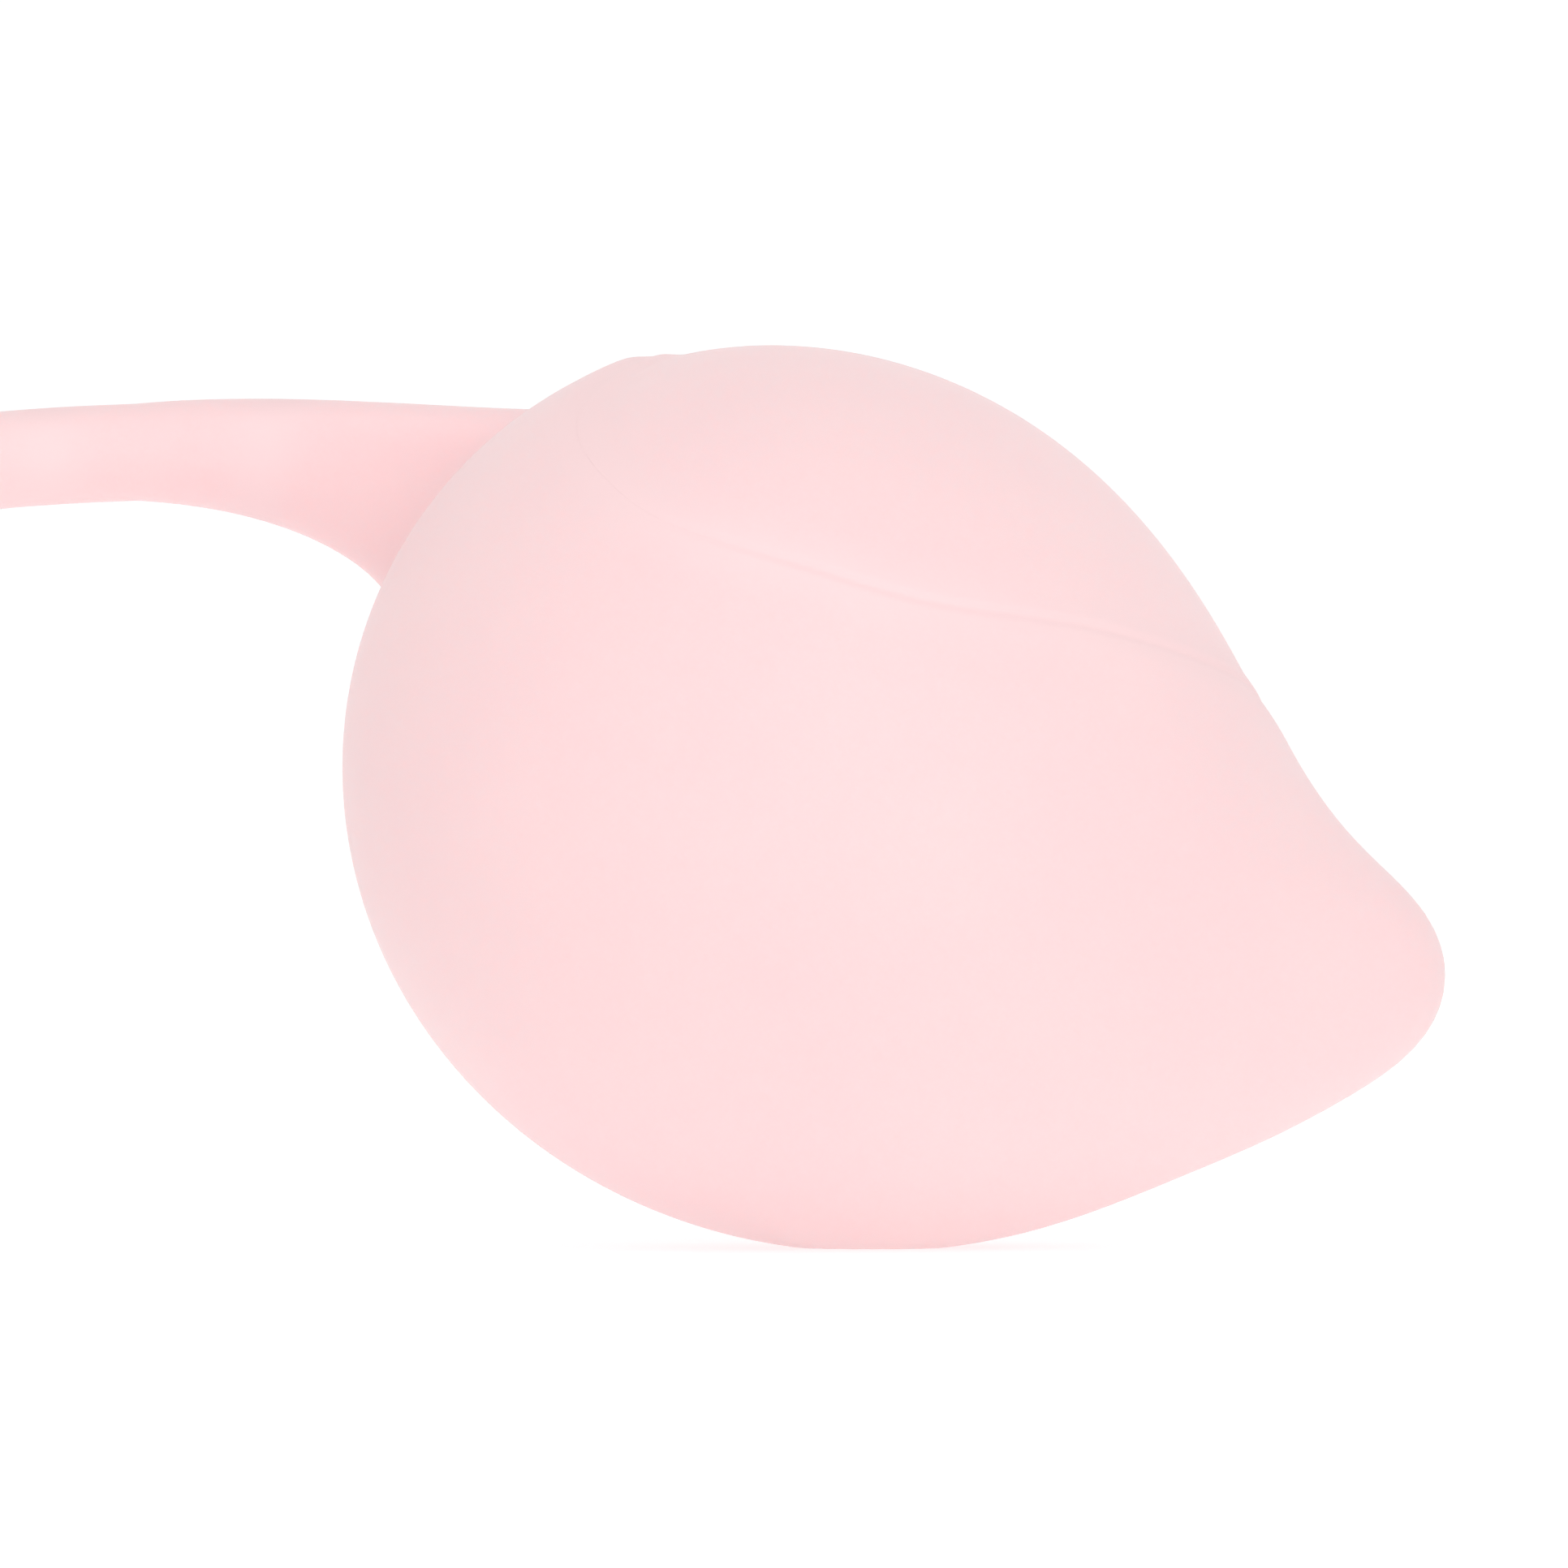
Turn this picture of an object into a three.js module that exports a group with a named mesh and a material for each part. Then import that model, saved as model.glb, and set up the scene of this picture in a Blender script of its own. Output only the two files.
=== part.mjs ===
// A weighted silicone training ball: a two-part silicone skin round a sealed capsule, with a steel
// weight that rolls inside the capsule, and a flexible retrieval tail that grows out of the back lobe.
//
// Frame: millimetres, +Z up. The origin is the centre of the small flat that the ball rests on, +X runs
// towards the nose and -Y is the front, where the long swirl crease shows.

import * as THREE from 'three';
import { mergeVertices } from 'three/addons/utils/BufferGeometryUtils.js';

// ---------------------------------------------------------------------------------- driving dimensions

const GAP = 0.3;                                      // clearance between neighbouring pieces
const BALL_CENTRE = new THREE.Vector3(-3.4, 0, 18.8); // every point of the skin is seen from here
const BALL_RADIUS = 19;                               // nominal, for distances along the skin

// The two lobes of the skin: a sphere each, given from the ball's centre.
const FRONT_LOBE = { centre: new THREE.Vector3(-1.05, 0, 1.6), radius: 17.7 };
const BACK_LOBE = { centre: new THREE.Vector3(-1.55, -0.25, 0.8), radius: 17.9 };

// The rounded nose, which both lobes melt into: three swellings, given from the ball's centre.
const NOSE = [
  { centre: new THREE.Vector3(8.4, 0, -6.4), radius: 1.9, blend: 40 },
  { centre: new THREE.Vector3(24.4, 0, -7.4), radius: 1.1, blend: 14.8 },
  { centre: new THREE.Vector3(18.2, 0, -8.15), radius: 1.0, blend: 22 },
];

// Where the lobes meet they step softly into each other, with a fine groove along the crease. Towards the
// tail the groove gives way to the front lobe's rim, which stands proud of the back lobe.
const STEP_REACH = 1.3;
const GROOVE_DEPTH = 0.09;
const GROOVE_REACH = 0.24;
const RIM_PRIDE = 0.12;
const RIM_PRIDE_REACH = 2.5;
const PRIDE_ENDS_X = 0;                               // from the ball's centre
const PRIDE_LENGTH = 8;

const CAPSULE_CENTRE = new THREE.Vector3(0, 0, 17.3);
const CAPSULE_RADIUS = 14.3;
const CAPSULE_WALL = 1.3;
const TONGUE_HEIGHT = 1.2;                            // the welded joint between the capsule's halves
const JACKET_RADIUS = 10.6;
const JACKET_WALL = 0.9;

const TAIL_Y = 7;
const TAIL_RADIUS = 2.06;
const TIP_RADIUS = 3.2;
const TIP_LENGTH = 9;

// The tail root's foot on the back lobe, an ellipse laid on the skin, given from the ball's centre.
const FOOT = {
  centre: new THREE.Vector3(-11.95, TAIL_Y, 12.15),
  long: new THREE.Vector3(4.2, 0, 5.75),
  wide: new THREE.Vector3(0, 4, 0),
};
const FOOT_FILLET = 2;                                // how far the root hugs the skin before it rises
const NECK_STRAIGHT = 8.4;                            // how far back from its end the neck starts to flare
const NECK_FLARE = 0.62;                              // how much wider and higher it is heading by then
const NECK_RISE = 0.19;

// The pole that the front lobe fans out from. The back lobe fans out from the opposite pole.
const FRONT_POLE = new THREE.Vector3(-0.75, -0.47, -0.47).normalize();

// The swirl crease, one closed line round the ball, as directions from the ball's centre.
const CREASE_ROUTE = [
  [-5.8, 0, 18.4], [-7.8, -4, 16.9], [-8.9, -7.6, 15.2], [-7.9, -11.4, 13.2], [-5.2, -14.6, 11.3],
  [0.4, -16.6, 9.7], [6.1, -16.3, 8.2], [12.5, -12.7, 7.2], [16.5, -7.9, 5.9], [19.5, 0, 3.7],
  [17.8, 8, -1.5], [12.5, 12.5, -7], [4, 14.5, -11], [-5, 14.5, -10.5], [-12.5, 12.5, -6.5],
  [-17, 8, -0.5], [-17.9, 3.6, 5.5], [-15.8, 2.2, 10.4], [-11.8, 2.2, 14.8], [-7.8, 2.2, 17.2],
];

// The tail's centre line from the end of its neck: level at first, then drooping to lie on the floor.
const TAIL_ROUTE = [
  [-31.4, TAIL_Y, 33.53], [-34.8, TAIL_Y, 33.37], [-38.2, TAIL_Y, 33.05], [-42.5, TAIL_Y, 32.2],
  [-47, 7.1, 30.6], [-51.5, 7.3, 28.1], [-56, 7.6, 24.8], [-60.5, 8.1, 20.9], [-65, 8.7, 16.8],
  [-69.5, 9.5, 12.7], [-74, 10.4, 9.1], [-79, 11.4, 6.1], [-84, 12.5, 4.25], [-89, 13.6, 3.4],
  [-94, 14.8, TIP_RADIUS],
];

// ------------------------------------------------------------------------------------------- materials

const silicone = () => new THREE.MeshStandardMaterial({ color: 0xf9d4d6, roughness: 0.62, metalness: 0 });
const shellPlastic = () => new THREE.MeshStandardMaterial({ color: 0xf1f1ee, roughness: 0.45, metalness: 0 });
const steel = () => new THREE.MeshStandardMaterial({ color: 0xb9bcc0, roughness: 0.25, metalness: 1 });
const softJacket = () => new THREE.MeshStandardMaterial({ color: 0x8f9194, roughness: 0.8, metalness: 0 });

// --------------------------------------------------------------------------------------- geometry tools

const CURVE_TENSION = 0.5;                            // the plain Catmull-Rom curve
const MERGE_REACH = 1e-4;                             // vertices closer than this are one

// Keeps only positions, shares vertices and turns the faces outwards, so that the body is one closed solid.
function closedBody(geometry) {
  for (const name of Object.keys(geometry.attributes)) {
    if (name !== 'position') geometry.deleteAttribute(name);
  }
  const body = mergeVertices(geometry, MERGE_REACH);
  const index = [];
  const corners = [new THREE.Vector3(), new THREE.Vector3(), new THREE.Vector3()];
  let volume = 0;
  for (let i = 0; i < body.index.count; i += 3) {
    const [a, b, c] = [0, 1, 2].map((k) => body.index.getX(i + k));
    if (a === b || b === c || c === a) continue;
    index.push(a, b, c);
    corners.forEach((corner, k) => corner.fromBufferAttribute(body.attributes.position, [a, b, c][k]));
    volume += corners[0].dot(corners[1].cross(corners[2]));
  }
  if (volume < 0) index.reverse();
  body.setIndex(index);
  body.computeVertexNormals();
  return body;
}

// Bends a sphere's grid into a new closed shape: place(u, ring) gives the point for each grid vertex, with
// u once round from 0 to 1 and ring counted from the first pole.
function bentSphere(around, rings, place) {
  const geometry = new THREE.SphereGeometry(1, around, rings);
  const position = geometry.attributes.position;
  for (let i = 0; i < position.count; i += 1) {
    const u = (i % (around + 1)) / around;
    const point = place(u % 1, Math.floor(i / (around + 1)));
    position.setXYZ(i, point.x, point.y, point.z);
  }
  return closedBody(geometry);
}

function smoothMin(a, b, blend) {
  const share = Math.max(blend - Math.abs(a - b), 0) / blend;
  return Math.min(a, b) - (share ** 3 * blend) / 6;
}

function arc(radius, from, to, steps) {
  return Array.from({ length: steps + 1 }, (_, i) => {
    const angle = from + ((to - from) * i) / steps;
    return new THREE.Vector2(Math.max(radius * Math.cos(angle), 0), radius * Math.sin(angle));
  });
}

function turned(profile, segments) {
  const geometry = new THREE.LatheGeometry(profile, segments);
  geometry.rotateX(Math.PI / 2);
  return closedBody(geometry);
}

// ------------------------------------------------------------------------------------------- the crease

const creaseCurve = new THREE.CatmullRomCurve3(
  CREASE_ROUTE.map((p) => new THREE.Vector3(...p).normalize()), true, 'catmullrom', CURVE_TENSION);

const CREASE_SAMPLES = 320;
const creaseSamples = Array.from({ length: CREASE_SAMPLES }, (_, i) =>
  creaseCurve.getPoint(i / CREASE_SAMPLES).normalize());

function distanceToCrease(direction) {
  const nearest = Math.max(...creaseSamples.map((sample) => sample.dot(direction)));
  return BALL_RADIUS * Math.acos(Math.min(nearest, 1));
}

// Stops round the crease, spaced so that neither the steps along it nor the turns about the pole get wide.
function creaseStops(count) {
  const fine = creaseSamples.length;
  const flat = creaseSamples.map((sample) => sample.clone().projectOnPlane(FRONT_POLE));
  const total = [0];
  for (let i = 0; i < fine; i += 1) {
    const next = (i + 1) % fine;
    const step = creaseSamples[i].distanceTo(creaseSamples[next]) + flat[i].angleTo(flat[next]);
    total.push(total[i] + step);
  }
  return Array.from({ length: count }, (_, k) => {
    const wanted = (total[fine] * k) / count;
    const i = total.findIndex((sum) => sum > wanted) - 1;
    return (i + (wanted - total[i]) / (total[i + 1] - total[i])) / fine;
  });
}

// The crease's direction at u, moved sideways along the skin: positive goes towards the given pole.
function besideCrease(u, sideways, pole) {
  const onCrease = creaseCurve.getPoint(u).normalize();
  const across = creaseCurve.getTangent(u).cross(onCrease).normalize();
  if (across.dot(pole.clone().sub(onCrease)) < 0) across.negate();
  return onCrease.addScaledVector(across, sideways / BALL_RADIUS).normalize();
}

// -------------------------------------------------------------------------------------------- the skin

function lobeField(point, lobe) {
  const body = point.distanceTo(lobe.centre) - lobe.radius;
  return NOSE.reduce((field, swelling) =>
    smoothMin(field, point.distanceTo(swelling.centre) - swelling.radius, swelling.blend), body);
}

// How far the lobe's surface is from the ball's centre in one direction, found by halving.
function lobeRadius(direction, lobe) {
  const closeEnough = 1e-5;
  let inside = 0.5 * BALL_RADIUS;
  let outside = 2 * BALL_RADIUS;
  while (outside - inside > closeEnough) {
    const middle = (inside + outside) / 2;
    if (lobeField(direction.clone().multiplyScalar(middle), lobe) < 0) inside = middle;
    else outside = middle;
  }
  return inside;
}

// A point of a lobe's outer surface, levelled at the floor to make the rest flat.
function skinPoint(direction, lobe, raise = 0) {
  const other = lobe === FRONT_LOBE ? BACK_LOBE : FRONT_LOBE;
  const distance = distanceToCrease(direction);
  const own = lobeRadius(direction, lobe);
  const step = 0.5 * (1 - THREE.MathUtils.smoothstep(distance, 0, STEP_REACH));
  const lean = THREE.MathUtils.clamp((PRIDE_ENDS_X - direction.x * BALL_RADIUS) / PRIDE_LENGTH, 0, 1);
  const pride = RIM_PRIDE * lean * Math.exp(-distance / RIM_PRIDE_REACH) * (1 - 2 * step);
  const groove = GROOVE_DEPTH * (1 - lean) * Math.exp(-((distance / GROOVE_REACH) ** 2));
  const level = own + (distance < STEP_REACH ? step * (lobeRadius(direction, other) - own) : 0);
  const radius = level + (lobe === FRONT_LOBE ? pride : -pride) - groove + raise;
  const point = direction.clone().multiplyScalar(radius).add(BALL_CENTRE);
  point.z = Math.max(point.z, 0);
  return point;
}

function cavityPoint(direction) {
  const offset = CAPSULE_CENTRE.clone().sub(BALL_CENTRE);
  const along = direction.dot(offset);
  const radius = CAPSULE_RADIUS + GAP;
  const reach = along + Math.sqrt(along ** 2 - offset.lengthSq() + radius ** 2);
  return direction.clone().multiplyScalar(reach).add(BALL_CENTRE);
}

// One half of the skin: it fans out from its pole over the outside to the crease, turns in, and comes
// back to the pole along the cavity.
function skinLobe(lobe, pole) {
  const around = 72;
  const outerRings = 17;
  const innerRings = 11;
  const crowding = 1.4;                               // above 1, the outer rings crowd towards the crease
  const edges = creaseStops(around).map((u) => besideCrease(u, GAP / 2, pole));
  return bentSphere(around, outerRings + innerRings + 1, (u, ring) => {
    const outside = ring <= outerRings;
    const left = outside ? 1 - ring / outerRings : (ring - outerRings - 1) / innerRings;
    const share = outside ? 1 - left ** crowding : 1 - left;
    const edge = edges[Math.round(u * around) % around];
    const axis = pole.clone().cross(edge).normalize();
    const direction = pole.clone().applyAxisAngle(axis, pole.angleTo(edge) * share);
    return outside ? skinPoint(direction, lobe) : cavityPoint(direction);
  });
}

// -------------------------------------------------------------------------------------------- the tail

// The flared root: it starts along the skin of the back lobe and narrows into the round tail.
function tailNeck() {
  const around = 32;
  const footRings = 4;
  const sideRings = 12;
  const end = new THREE.Vector3(...TAIL_ROUTE[0]).add(new THREE.Vector3(GAP, 0, 0));
  const flareCentre = end.clone().add(new THREE.Vector3(NECK_STRAIGHT, 0, NECK_RISE));
  const footCentre = skinPoint(FOOT.centre.clone().normalize(), BACK_LOBE, GAP);
  return bentSphere(around, footRings + sideRings, (u, ring) => {
    const angle = 2 * Math.PI * u;
    const footShare = Math.min(ring / footRings, 1);
    const foot = FOOT.centre.clone()
      .addScaledVector(FOOT.long, Math.cos(angle) * footShare)
      .addScaledVector(FOOT.wide, Math.sin(angle) * footShare);
    const start = skinPoint(foot.normalize(), BACK_LOBE, GAP);
    if (ring <= footRings) return start;
    if (ring === footRings + sideRings) return end;
    const normal = start.clone().sub(BALL_CENTRE).normalize();
    const inwards = footCentre.clone().sub(start).projectOnPlane(normal).normalize();
    const outwards = new THREE.Vector3(0, Math.sin(angle), Math.cos(angle));
    const side = new THREE.CubicBezierCurve3(
      start,
      start.clone().addScaledVector(inwards, FOOT_FILLET),
      flareCentre.clone().addScaledVector(outwards, TAIL_RADIUS + NECK_FLARE),
      end.clone().addScaledVector(outwards, TAIL_RADIUS));
    return side.getPoint((ring - footRings) / (sideRings - 1));
  });
}

function tailStem() {
  const steps = 20;
  const sides = 10;
  const points = TAIL_ROUTE.map((p) => new THREE.Vector3(...p));
  const route = new THREE.CatmullRomCurve3(points, false, 'catmullrom', CURVE_TENSION);
  const section = new THREE.Shape().absarc(0, 0, TAIL_RADIUS, 0, 2 * Math.PI);
  return closedBody(new THREE.ExtrudeGeometry(section, { steps, curveSegments: sides, extrudePath: route }));
}

// The swollen end, turned round its own axis, with its flat inner end towards the stem.
function tailTip() {
  const around = 20;
  const flareSteps = 5;
  const endSteps = 6;
  const neck = TIP_LENGTH - TIP_RADIUS;
  const flare = new THREE.CubicBezierCurve(
    new THREE.Vector2(TAIL_RADIUS, 0), new THREE.Vector2(TAIL_RADIUS, neck / 3),
    new THREE.Vector2(TIP_RADIUS, neck / 2), new THREE.Vector2(TIP_RADIUS, neck));
  const end = arc(TIP_RADIUS, 0, Math.PI / 2, endSteps).map((p) => new THREE.Vector2(p.x, p.y + neck));
  const profile = [new THREE.Vector2(0, 0), ...flare.getPoints(flareSteps), ...end.slice(1)];
  return turned(profile, around);
}

// --------------------------------------------------------------------------------- capsule and weight

const CAPSULE_SEGMENTS = 32;
const CAPSULE_STEPS = 8;
const CAPSULE_BORE = CAPSULE_RADIUS - CAPSULE_WALL;

// The lower half ends in a thin tongue round its inner edge.
function capsuleLower() {
  const tongueRadius = CAPSULE_RADIUS - CAPSULE_WALL / 2;
  const tongueAngle = Math.asin(TONGUE_HEIGHT / CAPSULE_BORE);
  return turned([
    ...arc(CAPSULE_RADIUS, -Math.PI / 2, 0, CAPSULE_STEPS),
    new THREE.Vector2(tongueRadius, 0),
    new THREE.Vector2(tongueRadius, TONGUE_HEIGHT),
    ...arc(CAPSULE_BORE, tongueAngle, -Math.PI / 2, CAPSULE_STEPS),
  ], CAPSULE_SEGMENTS);
}

// The upper half has a step that drops over the tongue.
function capsuleUpper() {
  const stepRadius = CAPSULE_RADIUS - CAPSULE_WALL / 2 + GAP;
  const edgeAngle = Math.asin(GAP / CAPSULE_RADIUS);
  const innerAngle = Math.asin((TONGUE_HEIGHT + GAP) / CAPSULE_BORE);
  return turned([
    ...arc(CAPSULE_RADIUS, Math.PI / 2, edgeAngle, CAPSULE_STEPS),
    new THREE.Vector2(stepRadius, GAP),
    new THREE.Vector2(stepRadius, TONGUE_HEIGHT + GAP),
    ...arc(CAPSULE_BORE, innerAngle, Math.PI / 2, CAPSULE_STEPS),
  ], CAPSULE_SEGMENTS);
}

const JACKET_SEGMENTS = 24;
const JACKET_STEPS = 6;

// The steel ball, with a clearance to the jacket all round.
function weightCore() {
  const rings = 14;
  return closedBody(new THREE.SphereGeometry(JACKET_RADIUS - JACKET_WALL - GAP, JACKET_SEGMENTS, rings));
}

// One half of the soft jacket round the steel ball. side is 1 for the upper half and -1 for the lower.
function jacketHalf(side) {
  const inner = JACKET_RADIUS - JACKET_WALL;
  const outerEdge = Math.asin(GAP / 2 / JACKET_RADIUS);
  const innerEdge = Math.asin(GAP / 2 / inner);
  return turned([
    ...arc(JACKET_RADIUS, (side * Math.PI) / 2, side * outerEdge, JACKET_STEPS),
    ...arc(inner, side * innerEdge, (side * Math.PI) / 2, JACKET_STEPS),
  ], JACKET_SEGMENTS);
}

// ---------------------------------------------------------------------------------------- the assembly

function part(name, geometry, material) {
  const mesh = new THREE.Mesh(geometry, material);
  mesh.name = name;
  return mesh;
}

const ball = new THREE.Group();

ball.add(
  part('front_skin_lobe', skinLobe(FRONT_LOBE, FRONT_POLE), silicone()),
  part('back_skin_lobe', skinLobe(BACK_LOBE, FRONT_POLE.clone().negate()), silicone()),
);

const capsule = new THREE.Group();
capsule.position.copy(CAPSULE_CENTRE);
capsule.add(
  part('capsule_lower', capsuleLower(), shellPlastic()),
  part('capsule_upper', capsuleUpper(), shellPlastic()),
);
ball.add(capsule);

// At rest the weight lies at the bottom of the capsule's bore.
const weight = new THREE.Group();
weight.position.copy(CAPSULE_CENTRE);
weight.position.z -= CAPSULE_BORE - JACKET_RADIUS - GAP;
weight.add(
  part('weight_core', weightCore(), steel()),
  part('weight_jacket_upper', jacketHalf(1), softJacket()),
  part('weight_jacket_lower', jacketHalf(-1), softJacket()),
);
ball.add(weight);

ball.add(
  part('tail_neck', tailNeck(), silicone()),
  part('tail_stem', tailStem(), silicone()),
);

const tip = part('tail_tip', tailTip(), silicone());
const lastPoint = new THREE.Vector3(...TAIL_ROUTE.at(-1));
const lastStep = lastPoint.clone().sub(new THREE.Vector3(...TAIL_ROUTE.at(-2))).setZ(0).normalize();
tip.position.copy(lastPoint).addScaledVector(lastStep, GAP);
tip.quaternion.setFromUnitVectors(new THREE.Vector3(0, 0, 1), lastStep);
ball.add(tip);

export default ball;
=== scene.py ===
"""A weighted silicone training ball with a retrieval tail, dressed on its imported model.

The skin's two lobes, the flared root of the tail and the tail itself are built here as fine surfaces from the
same few dimensions as the model. Lengths are in millimetres until a mesh is made, which is in metres.
"""

import math

import bmesh
import bpy
import numpy as np
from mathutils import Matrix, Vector


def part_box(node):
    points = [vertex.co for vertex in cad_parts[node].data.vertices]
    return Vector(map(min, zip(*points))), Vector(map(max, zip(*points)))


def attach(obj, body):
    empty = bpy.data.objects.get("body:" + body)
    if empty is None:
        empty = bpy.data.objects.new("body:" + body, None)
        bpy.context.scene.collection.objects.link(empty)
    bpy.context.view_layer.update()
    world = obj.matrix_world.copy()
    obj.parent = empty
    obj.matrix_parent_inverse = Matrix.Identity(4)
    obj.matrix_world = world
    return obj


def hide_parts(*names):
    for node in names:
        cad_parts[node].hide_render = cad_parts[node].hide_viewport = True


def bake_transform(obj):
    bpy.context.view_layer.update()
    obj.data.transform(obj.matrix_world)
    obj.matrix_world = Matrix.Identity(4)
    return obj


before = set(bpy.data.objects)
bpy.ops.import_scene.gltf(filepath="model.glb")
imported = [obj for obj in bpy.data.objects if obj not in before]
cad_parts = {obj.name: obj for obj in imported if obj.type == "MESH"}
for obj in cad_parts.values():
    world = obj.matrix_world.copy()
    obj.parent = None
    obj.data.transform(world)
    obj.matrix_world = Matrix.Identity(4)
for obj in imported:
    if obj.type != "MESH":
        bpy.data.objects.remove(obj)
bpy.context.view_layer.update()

MM = 0.001


def node_box(node):
    """The lowest and highest corners of a CAD node, in millimetres."""
    low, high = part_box(node)
    return np.array(low) / MM, np.array(high) / MM


# ------------------------------------------------------------------------------------- driving dimensions

CAPSULE_LOW, CAPSULE_HIGH = node_box("capsule_lower")
CAPSULE_RADIUS = (CAPSULE_HIGH[0] - CAPSULE_LOW[0]) / 2
CAPSULE_CENTRE = np.array([
    (CAPSULE_LOW[0] + CAPSULE_HIGH[0]) / 2,
    (CAPSULE_LOW[1] + CAPSULE_HIGH[1]) / 2,
    CAPSULE_LOW[2] + CAPSULE_RADIUS,
])
CAPSULE_GAP = 0.3

BALL_FROM_CAPSULE = np.array([-3.4, 0, 1.5])
BALL_CENTRE = CAPSULE_CENTRE + BALL_FROM_CAPSULE
BALL_RADIUS = 19.0
FLOOR_Z = 0.0

# The two lobes of the skin, and the nose that both melt into, given from the ball's centre.
FRONT_LOBE = {"centre": (-1.05, 0, 1.6), "radius": 17.7, "pride": 1}
BACK_LOBE = {"centre": (-1.55, -0.25, 0.8), "radius": 17.9, "pride": -1}
NOSE = (
    {"centre": (8.4, 0, -6.4), "radius": 1.9, "blend": 40.0},
    {"centre": (24.4, 0, -7.4), "radius": 1.1, "blend": 14.8},
    {"centre": (18.2, 0, -8.15), "radius": 1.0, "blend": 22.0},
)

# Where the lobes meet they step softly into each other, with a fine groove along the crease. Towards the
# tail the groove gives way to the front lobe's rim, which stands proud of the back lobe.
STEP_REACH = 1.3
GROOVE_DEPTH = 0.09
GROOVE_REACH = 0.24
RIM_PRIDE = 0.12
RIM_PRIDE_REACH = 2.5
PRIDE_ENDS_X = 0.0
PRIDE_LENGTH = 8.0
SEAM_HALF_WIDTH = 0.001

TAIL_Y = 7.0
TAIL_RADIUS = 2.06
TIP_RADIUS = 3.2
TIP_LENGTH = 9.0

# The tail root's foot on the back lobe, an ellipse laid on the skin, given from the ball's centre.
FOOT_CENTRE = np.array([-11.95, TAIL_Y, 12.15])
FOOT_LONG = np.array([4.2, 0, 5.75])
FOOT_WIDE = np.array([0, 4.0, 0])
FOOT_FILLET = 2.0
FOOT_SUNK = 0.04
NECK_STRAIGHT = 8.4
NECK_FLARE = 0.62
NECK_RISE = 0.19

# Where the tail is split into pieces: the root ends at the first, and the stretch after it at the second.
ROOT_ENDS_X = -25.5
BEND_ENDS_X = -34.8

# The direction from the ball's centre to the middle of the front lobe. The back lobe's is opposite.
FRONT_POLE = np.array([-0.75, -0.47, -0.47])

# The swirl crease, one closed line round the ball, as directions from the ball's centre.
CREASE_ROUTE = [
    (-5.8, 0, 18.4), (-7.8, -4, 16.9), (-8.9, -7.6, 15.2), (-7.9, -11.4, 13.2), (-5.2, -14.6, 11.3),
    (0.4, -16.6, 9.7), (6.1, -16.3, 8.2), (12.5, -12.7, 7.2), (16.5, -7.9, 5.9), (19.5, 0, 3.7),
    (17.8, 8, -1.5), (12.5, 12.5, -7), (4, 14.5, -11), (-5, 14.5, -10.5), (-12.5, 12.5, -6.5),
    (-17, 8, -0.5), (-17.9, 3.6, 5.5), (-15.8, 2.2, 10.4), (-11.8, 2.2, 14.8), (-7.8, 2.2, 17.2),
]

# The tail's centre line from the end of its neck: level at first, then drooping to lie on the floor.
TAIL_ROUTE = [
    (-31.4, TAIL_Y, 33.53), (-34.8, TAIL_Y, 33.37), (-38.2, TAIL_Y, 33.05), (-42.5, TAIL_Y, 32.2),
    (-47, 7.1, 30.6), (-51.5, 7.3, 28.1), (-56, 7.6, 24.8), (-60.5, 8.1, 20.9), (-65, 8.7, 16.8),
    (-69.5, 9.5, 12.7), (-74, 10.4, 9.1), (-79, 11.4, 6.1), (-84, 12.5, 4.25), (-89, 13.6, 3.4),
    (-94, 14.8, TIP_RADIUS),
]

# -------------------------------------------------------------------------------------- fineness of meshes

CREASE_SAMPLES = 2400
CREASE_BATCH = 2000
RADIUS_HALVINGS = 30
SKIN_SIDES = 420
SKIN_OUTER_RINGS = 110
SKIN_INNER_RINGS = 24
TAIL_SIDES = 64
NECK_RINGS = 64
STEM_RINGS = 170
TIP_RINGS = 60

# Edges sharper than this keep a hard shading line.
SHARP_ANGLE = math.radians(50)

# The vertex attribute that tells the silicone how far a seam or a cut end is, and the distance at which it
# stops mattering.
DEPTH_LAYER = "seam_depth"
SEAM_FADE = 2.5

# -------------------------------------------------------------------------------------- looks and lighting

# Each finish has noise for its tint and its roughness, as features per metre, detail, lowest and highest
# value, and a relief, as features per metre, detail, height in metres and strength.
FINISHES = {
    "silicone_skin": {
        "tint": (90, 3, (0.898, 0.648, 0.660), (0.912, 0.666, 0.672)),
        "roughness": (420, 4, (0.50,) * 3, (0.60,) * 3),
        "relief": (5200, 3, 0.00001, 0.6),
    },
    "capsule_plastic": {
        "tint": (140, 4, (0.80, 0.80, 0.77), (0.86, 0.86, 0.84)),
        "roughness": (900, 3, (0.38,) * 3, (0.50,) * 3),
        "relief": (2600, 4, 0.00002, 0.5),
    },
    "ground_steel": {
        "tint": (300, 5, (0.48, 0.49, 0.51), (0.62, 0.63, 0.65)),
        "roughness": (1800, 6, (0.16,) * 3, (0.32,) * 3),
        "relief": (6000, 2, 0.000005, 0.5),
    },
    "soft_jacket": {
        "tint": (200, 4, (0.20, 0.205, 0.21), (0.27, 0.275, 0.28)),
        "roughness": (700, 3, (0.70,) * 3, (0.85,) * 3),
        "relief": (3200, 4, 0.00003, 0.6),
    },
}

SCATTER_WEIGHT = 0.6
SCATTER_COLOUR = (1.0, 0.55, 0.5)
SCATTER_DISTANCE = 0.0009

WORLD_STRENGTH = 0.71

# The floor's own shade, how far it varies, and how strongly it glows.
FLOOR_SHADE = 0.58
FLOOR_MOTTLE = 0.02
FLOOR_GLOW = 0.56

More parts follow.
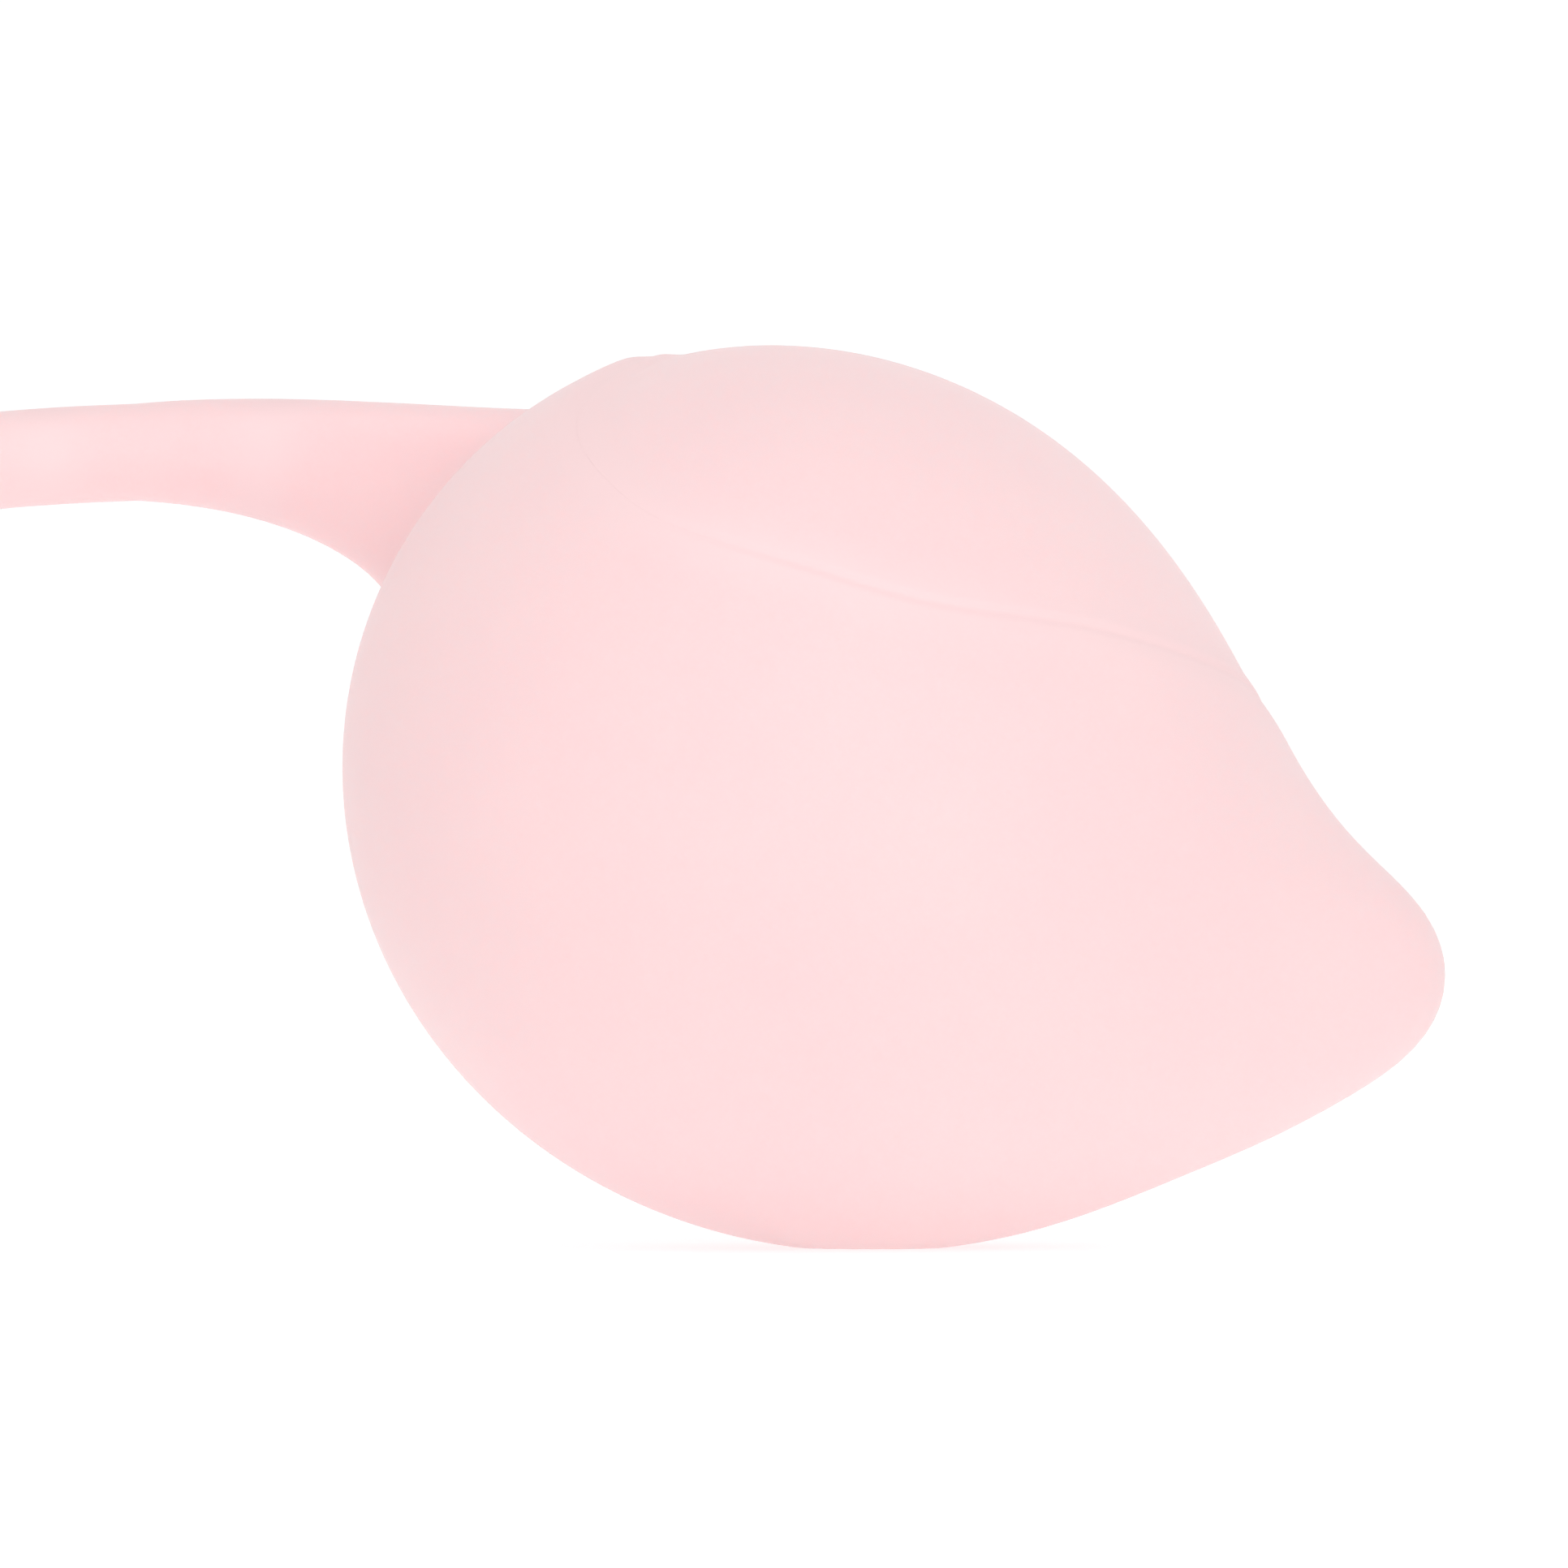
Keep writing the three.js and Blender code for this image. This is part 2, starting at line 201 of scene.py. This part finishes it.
# Each softbox: its name, place and size in metres, and power in watts.
SOFTBOXES = (
    ("key", (0.3, -0.8, 0.38), 0.5, 0.9),
    ("front", (0.12, -0.9, 0.1), 0.8, 1.0),
    ("overhead", (-0.05, -0.45, 0.8), 0.5, 1.65),
)

# The floor runs from in front of the object to a curved backdrop behind it, in metres.
STAGE_HALF_WIDTH = 3.0
STAGE_FRONT = -2.0
STAGE_BACK = 2.0
STAGE_BEND = 0.8
STAGE_HEIGHT = 3.0
STAGE_BEND_STEPS = 24

# ------------------------------------------------------------------------------------------------- camera

VIEW_CENTRE = np.array([-3.9, 0, 19.45])
VIEW_WIDTH = 65.8
CAMERA_DISTANCE = 620.0
SENSOR_WIDTH = 36.0
CLIP_START = 0.01
CLIP_END = 20


def make_camera():
    data = bpy.data.cameras.new("camera")
    data.sensor_width = SENSOR_WIDTH
    data.lens = SENSOR_WIDTH * CAMERA_DISTANCE / VIEW_WIDTH
    data.clip_start = CLIP_START
    data.clip_end = CLIP_END
    camera = bpy.data.objects.new("camera", data)
    camera.location = (VIEW_CENTRE + np.array([0, -CAMERA_DISTANCE, 0])) * MM
    camera.rotation_euler = (math.pi / 2, 0, 0)
    bpy.context.collection.objects.link(camera)
    bpy.context.scene.camera = camera


# ------------------------------------------------------------------------------------------ general tools


def unit(vectors):
    return vectors / np.linalg.norm(vectors, axis=-1, keepdims=True)


def catmull_rom(points, stops, closed):
    """Points of a smooth curve through the given ones, at stops from 0 to 1, and its direction there."""
    points = np.array(points, float)
    count = len(points)
    if closed:
        padded = np.vstack([points[-1], points, points[0], points[1]])
        spans = count
    else:
        padded = np.vstack([2 * points[0] - points[1], points, 2 * points[-1] - points[-2]])
        spans = count - 1
    position = np.clip(np.array(stops) * spans, 0, spans)
    first = np.minimum(position.astype(int), spans - 1)
    t = (position - first)[:, None]
    p0, p1, p2, p3 = (padded[first + k] for k in range(4))
    a = 2 * p0 - 5 * p1 + 4 * p2 - p3
    b = -p0 + 3 * p1 - 3 * p2 + p3
    curve = 0.5 * (2 * p1 + (p2 - p0) * t + a * t**2 + b * t**3)
    slope = 0.5 * ((p2 - p0) + 2 * a * t + 3 * b * t**2)
    return curve, unit(slope)


def bezier(p0, p1, p2, p3, t):
    return (1 - t) ** 3 * p0 + 3 * (1 - t) ** 2 * t * p1 + 3 * (1 - t) * t**2 * p2 + t**3 * p3


def closed_mesh(name, rings, material, first_tip, last_tip, depths):
    """A closed body from rings of points, each with as many, and a point that closes it at either end.

    depths gives each vertex's distance from the nearest seam or cut end, the two tips after the rings.
    """
    around = len(rings[0])
    vertices = [tuple(p) for ring in rings for p in ring]
    faces = []
    for row in range(len(rings) - 1):
        for k in range(around):
            a = row * around + k
            b = row * around + (k + 1) % around
            faces.append((a, b, b + around, a + around))
    for tip, row in ((first_tip, 0), (last_tip, len(rings) - 1)):
        vertices.append(tuple(tip))
        for k in range(around):
            faces.append((row * around + k, row * around + (k + 1) % around, len(vertices) - 1))
    mesh = bpy.data.meshes.new(name)
    mesh.from_pydata((np.array(vertices) * MM).tolist(), [], faces)
    obj = bpy.data.objects.new(name, mesh)
    bpy.context.collection.objects.link(obj)
    layer = mesh.attributes.new(DEPTH_LAYER, "FLOAT", "POINT")
    layer.data.foreach_set("value", np.clip(depths / SEAM_FADE, 0, 1))
    face_outwards(mesh)
    mesh.shade_smooth()
    sharpen_rims(mesh)
    mesh.materials.append(material)
    return obj


def ring_depths(rings, ends):
    """Each vertex's distance along the rings from the cut ends, which are given by their row numbers."""
    middles = np.array([np.mean(ring, axis=0) for ring in rings])
    steps = np.linalg.norm(np.diff(middles, axis=0), axis=1)
    along = np.concatenate([[0], np.cumsum(steps)])
    depth = np.min([np.abs(along - along[end]) for end in ends], axis=0)
    return np.concatenate([np.repeat(depth, len(rings[0])), [depth[0], depth[-1]]])


def sharpen_rims(mesh):
    """Keeps the shading of a side apart from that of a cut end that it meets at a square rim."""
    body = bmesh.new()
    body.from_mesh(mesh)
    for edge in body.edges:
        edge.smooth = edge.calc_face_angle(0) < SHARP_ANGLE
    body.to_mesh(mesh)
    body.free()


def face_outwards(mesh):
    body = bmesh.new()
    body.from_mesh(mesh)
    bmesh.ops.recalc_face_normals(body, faces=body.faces)
    if body.calc_volume(signed=True) < 0:
        bmesh.ops.reverse_faces(body, faces=body.faces)
    body.to_mesh(mesh)
    body.free()


# ---------------------------------------------------------------------------------------------- the crease

crease_route = unit(np.array(CREASE_ROUTE, float))
crease_stops = np.arange(CREASE_SAMPLES) / CREASE_SAMPLES
crease_points, crease_slopes = catmull_rom(crease_route, crease_stops, True)
crease_points = unit(crease_points)


def crease_distance(directions):
    """How far each direction lies from the crease, in millimetres along the skin."""
    distances = np.empty(len(directions))
    for start in range(0, len(directions), CREASE_BATCH):
        batch = directions[start:start + CREASE_BATCH]
        nearest = (batch @ crease_points.T).argmax(axis=1)
        offset = batch - crease_points[nearest]
        along = (offset * crease_slopes[nearest]).sum(axis=1)
        across = (offset**2).sum(axis=1) - along**2
        distances[start:start + CREASE_BATCH] = BALL_RADIUS * np.sqrt(np.maximum(across, 0))
    return distances


def crease_fan(pole, around):
    """Directions just beside the crease, towards the pole, at stops that suit a fan from that pole."""
    flat = unit(crease_points - np.outer(crease_points @ pole, pole))
    turn = np.arccos(np.clip((flat * np.roll(flat, -1, axis=0)).sum(axis=1), -1, 1))
    step = np.linalg.norm(np.roll(crease_points, -1, axis=0) - crease_points, axis=1)
    total = np.concatenate([[0], np.cumsum(step + turn)])
    stops = np.interp(np.arange(around) / around * total[-1], total, np.arange(CREASE_SAMPLES + 1))
    points, slopes = catmull_rom(crease_route, stops / CREASE_SAMPLES, True)
    points = unit(points)
    across = unit(np.cross(slopes, points))
    across *= np.sign((across * (pole - points)).sum(axis=1))[:, None]
    return unit(points + across * SEAM_HALF_WIDTH / BALL_RADIUS)


# ------------------------------------------------------------------------------------------------ the skin


def smooth_min(a, b, blend):
    """The smaller of two distances, rounded over where they differ by less than the blend."""
    share = np.maximum(blend - np.abs(a - b), 0) / blend
    return np.minimum(a, b) - share**3 * blend / 6


def sphere_distance(points, sphere):
    return np.linalg.norm(points - np.array(sphere["centre"]), axis=-1) - sphere["radius"]


def lobe_radius(directions, lobe):
    """How far the lobe's surface is from the ball's centre in each direction, found by halving."""
    inside = np.full(len(directions), 0.5 * BALL_RADIUS)
    outside = np.full(len(directions), 2.0 * BALL_RADIUS)
    for _ in range(RADIUS_HALVINGS):
        middle = (inside + outside) / 2
        points = directions * middle[:, None]
        field = sphere_distance(points, lobe)
        for swelling in NOSE:
            field = smooth_min(field, sphere_distance(points, swelling), swelling["blend"])
        inside = np.where(field < 0, middle, inside)
        outside = np.where(field < 0, outside, middle)
    return inside


def skin_points(directions, lobe, raised=0.0):
    """Points of a lobe's outer surface, levelled at the floor where the ball rests."""
    other = BACK_LOBE if lobe is FRONT_LOBE else FRONT_LOBE
    distance = crease_distance(directions)
    own = lobe_radius(directions, lobe)
    reach = np.clip(distance / STEP_REACH, 0, 1)
    step = 0.5 * (1 - reach**2 * (3 - 2 * reach))
    lean = np.clip((PRIDE_ENDS_X - directions[:, 0] * BALL_RADIUS) / PRIDE_LENGTH, 0, 1)
    pride = RIM_PRIDE * lean * np.exp(-distance / RIM_PRIDE_REACH) * (1 - 2 * step)
    groove = GROOVE_DEPTH * (1 - lean) * np.exp(-((distance / GROOVE_REACH) ** 2))
    level = own + step * (lobe_radius(directions, other) - own)
    radius = level + lobe["pride"] * pride - groove + raised
    points = BALL_CENTRE + directions * radius[:, None]
    points[:, 2] = np.maximum(points[:, 2], FLOOR_Z)
    return points


def cavity_points(directions):
    """Points of the hollow in the skin, a little clear of the capsule."""
    offset = CAPSULE_CENTRE - BALL_CENTRE
    along = directions @ offset
    radius = CAPSULE_RADIUS + CAPSULE_GAP
    reach = along + np.sqrt(along**2 - offset @ offset + radius**2)
    return BALL_CENTRE + directions * reach[:, None]


def fan(pole, edges, share):
    """Directions that lie the given share of the way from the pole to each edge direction."""
    angle = np.arccos(np.clip(edges @ pole, -1, 1))
    sideways = unit(edges - np.outer(edges @ pole, pole))
    turned = angle * share
    return pole * np.cos(turned)[:, None] + sideways * np.sin(turned)[:, None]


def make_skin_lobe(name, node, lobe, pole, material):
    """One lobe of the skin: from its pole out to the crease, then back over the hollow for the capsule."""
    pole = unit(pole)
    edges = crease_fan(pole, SKIN_SIDES)
    outer_shares = 1 - (1 - np.arange(1, SKIN_OUTER_RINGS + 1) / SKIN_OUTER_RINGS) ** 2
    inner_shares = 1 - np.arange(SKIN_INNER_RINGS) / SKIN_INNER_RINGS
    outward = [fan(pole, edges, share) for share in outer_shares]
    inward = [fan(pole, edges, share) for share in inner_shares]
    rings = [skin_points(ring, lobe) for ring in outward] + [cavity_points(ring) for ring in inward]
    tips = (skin_points(pole[None, :], lobe)[0], cavity_points(pole[None, :])[0])
    depths = crease_distance(np.vstack([*outward, *inward, pole, pole]))
    obj = closed_mesh(name, rings, material, *tips, depths)
    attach(obj, "ball")
    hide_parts(node)


# ------------------------------------------------------------------------------------------------ the tail

tail_angles = 2 * np.pi * np.arange(TAIL_SIDES) / TAIL_SIDES


def neck_rings():
    """Rings that start along the skin round the tail's foot and end round the tail's first point."""
    along_foot = np.cos(tail_angles)[:, None] * FOOT_LONG
    foot = FOOT_CENTRE + along_foot + np.sin(tail_angles)[:, None] * FOOT_WIDE
    start = skin_points(unit(foot), BACK_LOBE, -FOOT_SUNK)
    centre = skin_points(unit(FOOT_CENTRE)[None, :], BACK_LOBE)[0]
    normal = unit(start - BALL_CENTRE)
    inwards = centre - start
    inwards = unit(inwards - (inwards * normal).sum(axis=1)[:, None] * normal)
    circle = np.stack([np.zeros(TAIL_SIDES), np.sin(tail_angles), np.cos(tail_angles)], axis=1)
    rim = np.array(TAIL_ROUTE[0]) + circle * TAIL_RADIUS
    flare_centre = np.array(TAIL_ROUTE[0]) + np.array([NECK_STRAIGHT, 0, NECK_RISE])
    handles = (start + inwards * FOOT_FILLET, flare_centre + circle * (TAIL_RADIUS + NECK_FLARE))
    return [bezier(start, *handles, rim, k / NECK_RINGS) for k in range(NECK_RINGS + 1)]


def tail_radius(from_end):
    """The tail's radius at a distance from its far end: even, then a swollen and rounded tip."""
    swelling = np.clip((TIP_LENGTH - from_end) / (TIP_LENGTH - TIP_RADIUS), 0, 1)
    radius = TAIL_RADIUS + (TIP_RADIUS - TAIL_RADIUS) * swelling**2 * (3 - 2 * swelling)
    short = np.clip(TIP_RADIUS - from_end, 0, TIP_RADIUS)
    return radius * np.sqrt(np.maximum(1 - (short / TIP_RADIUS) ** 2, 0))


def tail_line():
    """The tail's centre line to the end of its tip, with finer steps towards the end."""
    route = np.array(TAIL_ROUTE, float)
    heading = route[-1] - route[-2]
    heading[2] = 0
    stem, _ = catmull_rom(route, np.linspace(0, 1, STEM_RINGS), False)
    tip_share = 1 - (1 - np.linspace(0, 1, TIP_RINGS)[1:]) ** 2
    return np.vstack([stem, route[-1] + unit(heading) * TIP_LENGTH * tip_share[:, None]])


def tail_rings(line):
    """A ring round each point of the tail's centre line but the last, which closes the tip.

    The first ring stands upright, as the neck's last one does.
    """
    lengths = np.concatenate([[0], np.cumsum(np.linalg.norm(np.diff(line, axis=0), axis=1))])
    slope = unit(np.gradient(line, axis=0))
    slope[0] = (-1, 0, 0)
    radius = tail_radius(lengths[-1] - lengths)
    side = unit(np.cross(slope, np.array([0, 0, 1.0])))
    up = np.cross(side, slope)
    across = np.sin(tail_angles)[None, :, None] * side[:, None, :]
    upwards = np.cos(tail_angles)[None, :, None] * up[:, None, :]
    return list((line[:, None, :] + radius[:, None, None] * (across + upwards))[:-1])


def ring_index(rings, x):
    """The first ring, counted from the tail's foot, whose middle lies beyond x."""
    return next(k for k, ring in enumerate(rings) if ring[:, 0].mean() < x)


def make_root(rings, material):
    """The flared root, from the skin that it grows from to its outer end."""
    foot = skin_points(unit(FOOT_CENTRE)[None, :], BACK_LOBE)[0]
    tips = (rings[0].mean(axis=0), rings[-1].mean(axis=0))
    obj = closed_mesh("tail_root", rings, material, *tips, ring_depths(rings, (0, -1)))
    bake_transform(obj)
    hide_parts("tail_neck")


def make_neck_end(rings, material):
    """The stretch of tail between the root and the rest of the tail."""
    tips = (rings[0].mean(axis=0), rings[-1].mean(axis=0))
    obj = closed_mesh("tail_neck_end", rings, material, *tips, ring_depths(rings, (0, -1)))
    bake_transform(obj)


def make_free_tail(rings, line, material):
    """The rest of the tail with its swollen tip, which lies free."""
    obj = closed_mesh("tail", rings, material, line[0], line[-1], ring_depths(rings, (0,)))
    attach(obj, "tail")
    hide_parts("tail_stem", "tail_tip")


def make_tail(material):
    """The tail as one run of rings, split in three so that its pieces share their end rings."""
    line = tail_line()
    rings = neck_rings() + tail_rings(line)[1:]
    root_ends = ring_index(rings, ROOT_ENDS_X)
    bend_ends = ring_index(rings, BEND_ENDS_X)
    make_free_tail(rings[bend_ends:], line[bend_ends - NECK_RINGS:], material)
    make_root(rings[:root_ends + 1], material)
    make_neck_end(rings[root_ends:bend_ends + 1], material)


# ----------------------------------------------------------------------------------------------- materials


def new_material(name):
    """A material with its nodes, its links and its shader."""
    material = bpy.data.materials.new(name)
    material.use_nodes = True
    nodes = material.node_tree.nodes
    return material, nodes, material.node_tree.links, nodes["Principled BSDF"]


def object_noise(nodes, links, scale, detail):
    """Noise in the object's own space, with scale in features per metre."""
    place = nodes.new("ShaderNodeTexCoord")
    noise = nodes.new("ShaderNodeTexNoise")
    noise.inputs["Scale"].default_value = scale
    noise.inputs["Detail"].default_value = detail
    links.new(place.outputs["Object"], noise.inputs["Vector"])
    return noise


def noise_ramp(nodes, links, scale, detail, low, high):
    """Noise turned into colours from low to high, over the middle of its range, where most of it lies."""
    noise = object_noise(nodes, links, scale, detail)
    ramp = nodes.new("ShaderNodeValToRGB")
    first, last = ramp.color_ramp.elements
    first.position = 0.3
    first.color = (*low, 1)
    last.position = 0.7
    last.color = (*high, 1)
    links.new(noise.outputs["Fac"], ramp.inputs["Fac"])
    return ramp.outputs["Color"]


def noise_bump(nodes, links, scale, detail, distance, strength):
    """Noise turned into a fine relief."""
    noise = object_noise(nodes, links, scale, detail)
    bump = nodes.new("ShaderNodeBump")
    bump.inputs["Strength"].default_value = strength
    bump.inputs["Distance"].default_value = distance
    links.new(noise.outputs["Fac"], bump.inputs["Height"])
    return bump.outputs["Normal"]


def finished_material(name):
    """A material with the mottle, roughness and relief of its finish, and its shader."""
    material, nodes, links, shader = new_material(name)
    finish = FINISHES[name]
    links.new(noise_ramp(nodes, links, *finish["tint"]), shader.inputs["Base Color"])
    links.new(noise_ramp(nodes, links, *finish["roughness"]), shader.inputs["Roughness"])
    links.new(noise_bump(nodes, links, *finish["relief"]), shader.inputs["Normal"])
    return material, shader


def silicone_material():
    """Soft matte silicone: light travels under its surface, but fades out at a seam or a cut end."""
    material, shader = finished_material("silicone_skin")
    nodes = material.node_tree.nodes
    links = material.node_tree.links
    depth = nodes.new("ShaderNodeAttribute")
    depth.attribute_name = DEPTH_LAYER
    scatter = nodes.new("ShaderNodeMapRange")
    scatter.interpolation_type = "SMOOTHSTEP"
    scatter.inputs["To Max"].default_value = SCATTER_WEIGHT
    links.new(depth.outputs["Fac"], scatter.inputs["Value"])
    links.new(scatter.outputs["Result"], shader.inputs["Subsurface Weight"])
    shader.inputs["Subsurface Radius"].default_value = SCATTER_COLOUR
    shader.inputs["Subsurface Scale"].default_value = SCATTER_DISTANCE
    shader.inputs["Specular IOR Level"].default_value = 0.35
    shader.inputs["Sheen Weight"].default_value = 0.08
    shader.inputs["Sheen Roughness"].default_value = 0.5
    return material


def steel_material():
    material, shader = finished_material("ground_steel")
    shader.inputs["Metallic"].default_value = 1
    return material


def dress_node(node, material):
    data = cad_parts[node].data
    data.materials.clear()
    data.materials.append(material)


# ------------------------------------------------------------------------------------- floor and lighting


def make_stage():
    """A pale floor that curves up into a backdrop far behind the object, and glows like a light table."""
    profile = [(STAGE_FRONT, 0.0)]
    for k in range(STAGE_BEND_STEPS + 1):
        angle = math.pi / 2 * k / STAGE_BEND_STEPS
        y = STAGE_BACK + STAGE_BEND * math.sin(angle)
        profile.append((y, STAGE_BEND * (1 - math.cos(angle))))
    profile.append((STAGE_BACK + STAGE_BEND, STAGE_HEIGHT))
    vertices = [(side * STAGE_HALF_WIDTH, y, z) for y, z in profile for side in (-1, 1)]
    faces = [(2 * k, 2 * k + 1, 2 * k + 3, 2 * k + 2) for k in range(len(profile) - 1)]
    mesh = bpy.data.meshes.new("floor")
    mesh.from_pydata(vertices, [], faces)
    mesh.shade_smooth()
    floor = bpy.data.objects.new("floor", mesh)
    bpy.context.collection.objects.link(floor)
    material, nodes, links, shader = new_material("pale_floor")
    tint = noise_ramp(nodes, links, 3, 2, (FLOOR_SHADE,) * 3, (FLOOR_SHADE + FLOOR_MOTTLE,) * 3)
    links.new(tint, shader.inputs["Base Color"])
    shader.inputs["Roughness"].default_value = 0.9
    shader.inputs["Specular IOR Level"].default_value = 0.1
    shader.inputs["Emission Color"].default_value = (1, 1, 1, 1)
    shader.inputs["Emission Strength"].default_value = FLOOR_GLOW
    mesh.materials.append(material)


def make_area_light(name, place, target, size, power):
    data = bpy.data.lights.new(name, "AREA")
    data.shape = "DISK"
    data.size = size
    data.energy = power
    light = bpy.data.objects.new(name, data)
    light.location = place
    aim = np.array(target) - np.array(place)
    light.rotation_mode = "QUATERNION"
    light.rotation_quaternion = Vector(aim).to_track_quat("-Z", "Y")
    bpy.context.collection.objects.link(light)


def make_lighting():
    world = bpy.data.worlds.new("studio")
    bpy.context.scene.world = world
    world.use_nodes = True
    background = world.node_tree.nodes["Background"]
    background.inputs["Color"].default_value = (1, 1, 1, 1)
    background.inputs["Strength"].default_value = WORLD_STRENGTH
    target = tuple(BALL_CENTRE * MM)
    for name, place, size, power in SOFTBOXES:
        make_area_light(name, place, target, size, power)


# ----------------------------------------------------------------------------------------------- the scene

make_camera()
silicone = silicone_material()
make_tail(silicone)
make_skin_lobe("front_skin", "front_skin_lobe", FRONT_LOBE, FRONT_POLE, silicone)
make_skin_lobe("back_skin", "back_skin_lobe", BACK_LOBE, -FRONT_POLE, silicone)

plastic, _ = finished_material("capsule_plastic")
dress_node("capsule_lower", plastic)
dress_node("capsule_upper", plastic)
dress_node("weight_core", steel_material())
jacket, _ = finished_material("soft_jacket")
dress_node("weight_jacket_upper", jacket)
dress_node("weight_jacket_lower", jacket)

make_stage()
make_lighting()
bpy.context.scene.view_settings.view_transform = "Standard"
